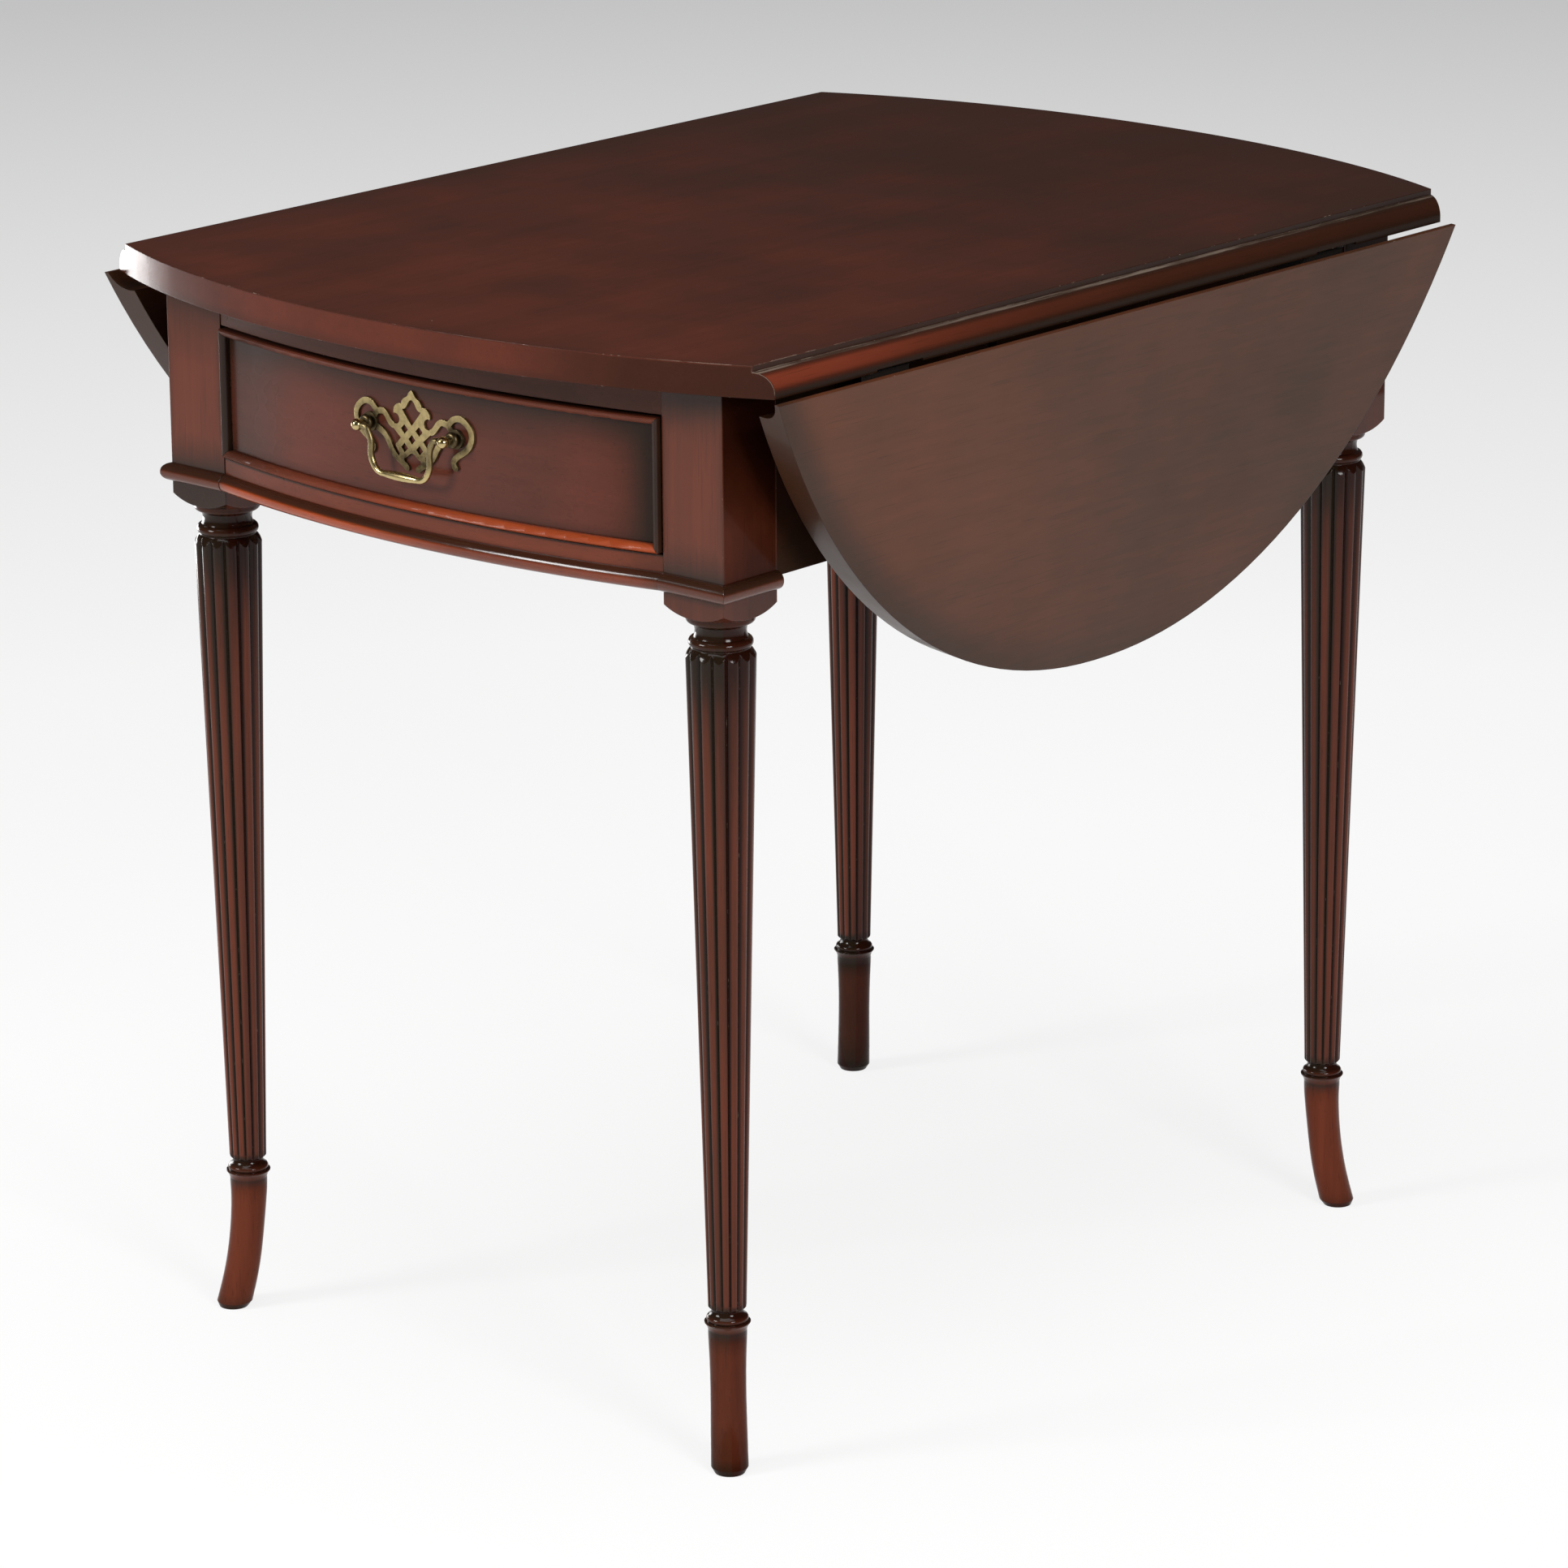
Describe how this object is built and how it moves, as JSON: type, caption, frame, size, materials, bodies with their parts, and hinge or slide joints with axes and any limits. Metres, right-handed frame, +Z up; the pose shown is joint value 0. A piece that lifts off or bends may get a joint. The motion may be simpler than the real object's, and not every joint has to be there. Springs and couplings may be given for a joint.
{
  "type": "pembroke table",
  "caption": "Oval drop-leaf occasional table with a bow-fronted drawer, brass bail pull, reeded tapering legs and hinged leaves carried by swinging brackets.",
  "frame": {"origin": "on the floor under the middle of the top, half way between the front and rear and the two sides", "axes": "+Z up, the drawer faces -Y, the leaves hang along the +X and -X sides"},
  "size_m": [0.5296, 0.722, 0.66],
  "materials": {
    "mahogany": "polished",
    "lining_wood": "bare",
    "pull_brass": "aged",
    "hinge_steel": "dull"
  },
  "bodies": {
    "table_frame": {"back_apron": "mahogany", "drawer_guide_left": "lining_wood", "drawer_guide_right": "lining_wood", "drawer_runner_left": "lining_wood", "drawer_runner_right": "lining_wood", "drawer_stops": "lining_wood", "fly_pin_left": "hinge_steel", "fly_pin_right": "hinge_steel", "fly_rail_front_left": "mahogany", "fly_rail_front_right": "mahogany", "fly_rail_rear_left": "mahogany", "fly_rail_rear_right": "mahogany", "front_lower_rail": "mahogany", "front_rail_bead": "mahogany", "front_top_rail": "mahogany", "hinge_pins_left": "hinge_steel", "hinge_pins_right": "hinge_steel", "hinge_plate_top_left_front": "hinge_steel", "hinge_plate_top_left_rear": "hinge_steel", "hinge_plate_top_right_front": "hinge_steel", "hinge_plate_top_right_rear": "hinge_steel", "hinge_screws_top": "hinge_steel", "kicker_left": "lining_wood", "kicker_right": "lining_wood", "leg_bead_front_left": "mahogany", "leg_bead_front_right": "mahogany", "leg_front_left": "mahogany", "leg_front_right": "mahogany", "leg_rear_left": "mahogany", "leg_rear_right": "mahogany", "side_apron_left": "lining_wood", "side_apron_right": "lining_wood", "top_board": "mahogany", "top_screws": "hinge_steel"},
    "leaf_right": {"hinge_plate_leaf_right_front": "hinge_steel", "hinge_plate_leaf_right_rear": "hinge_steel", "hinge_screws_leaf_right": "hinge_steel", "leaf_right": "mahogany"},
    "leaf_left": {"hinge_plate_leaf_left_front": "hinge_steel", "hinge_plate_leaf_left_rear": "hinge_steel", "hinge_screws_leaf_left": "hinge_steel", "leaf_left": "mahogany"},
    "drawer": {"cock_bead_bottom": "mahogany", "cock_bead_left": "mahogany", "cock_bead_right": "mahogany", "cock_bead_top": "mahogany", "drawer_back": "lining_wood", "drawer_bottom": "lining_wood", "drawer_front": "mahogany", "drawer_side_left": "lining_wood", "drawer_side_right": "lining_wood", "pull_nuts": "pull_brass", "pull_plate": "pull_brass", "pull_posts": "pull_brass"},
    "bail": {"pull_bail": "pull_brass"},
    "fly_bracket_right": {"fly_bracket_right": "mahogany"},
    "fly_bracket_left": {"fly_bracket_left": "mahogany"}
  },
  "joints": [
    {"name": "leaf_right_hinge", "type": "hinge", "parent": "table_frame", "child": "leaf_right", "pos_m": [0.2468, 0, 0.6419], "axis": [0, -1, 0], "range_deg": [0, 96.3]},
    {"name": "leaf_left_hinge", "type": "hinge", "parent": "table_frame", "child": "leaf_left", "pos_m": [-0.2468, 0, 0.6419], "axis": [0, 1, 0], "range_deg": [0, 96.3]},
    {"name": "fly_bracket_right_hinge", "type": "hinge", "parent": "table_frame", "child": "fly_bracket_right", "pos_m": [0.204, -0.075, 0.584], "axis": [0, 0, -1], "range_deg": [0, 9]},
    {"name": "fly_bracket_left_hinge", "type": "hinge", "parent": "table_frame", "child": "fly_bracket_left", "pos_m": [-0.204, 0.075, 0.584], "axis": [0, 0, -1], "range_deg": [0, 9]},
    {"name": "drawer_slide", "type": "slide", "parent": "table_frame", "child": "drawer", "axis": [0, -1, 0], "range_m": [0, 0.33]},
    {"name": "bail_hinge", "type": "hinge", "parent": "drawer", "child": "bail", "pos_m": [0, -0.33305, 0.5885], "axis": [-1, 0, 0], "range_deg": [-10, 110]}
  ]
}
